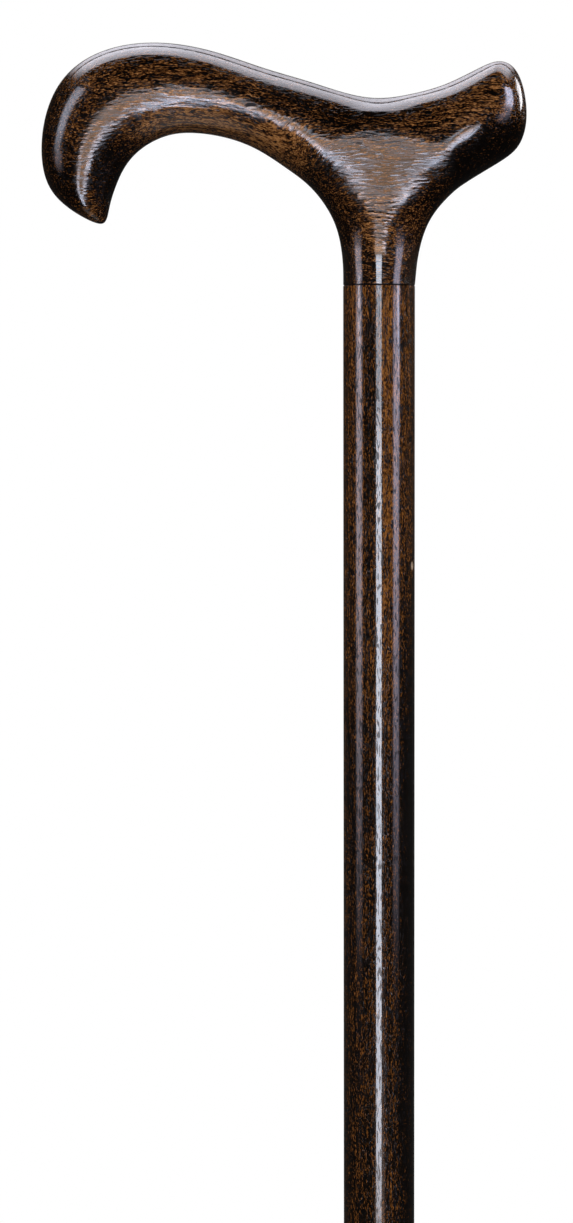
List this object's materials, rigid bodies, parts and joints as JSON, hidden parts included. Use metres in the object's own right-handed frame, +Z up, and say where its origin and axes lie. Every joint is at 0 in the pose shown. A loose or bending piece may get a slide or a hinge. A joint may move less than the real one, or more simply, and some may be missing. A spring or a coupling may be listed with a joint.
{
  "type": "derby handle cane",
  "caption": "Walking cane with a curved derby handle of dark wood on a slim tapered wooden shaft, with a push-on rubber ferrule at the foot.",
  "frame": {"origin": "centre of the ferrule's tread, on the ground, under the shaft's axis", "axes": "+Z up the shaft, -X towards the handle's nose, +X towards its short tail"},
  "size_m": [0.1352, 0.038, 0.9201],
  "materials": {
    "handle_wood": "dark stain under clear gloss lacquer",
    "shaft_wood": "dark stain under clear gloss lacquer",
    "stud_steel": "zinc plated thread",
    "ferrule_rubber": "matt moulded rubber",
    "washer_steel": "zinc plated"
  },
  "bodies": {
    "ferrule": {"rubber_ferrule": "ferrule_rubber", "ferrule_washer": "washer_steel"},
    "stick": {"handle": "handle_wood", "shaft": "shaft_wood", "joint_stud": "stud_steel"}
  },
  "joints": [
    {"name": "ferrule_pull", "type": "slide", "parent": "ferrule", "child": "stick", "axis": [0, 0, 1], "range_m": [0, 0.045]}
  ]
}
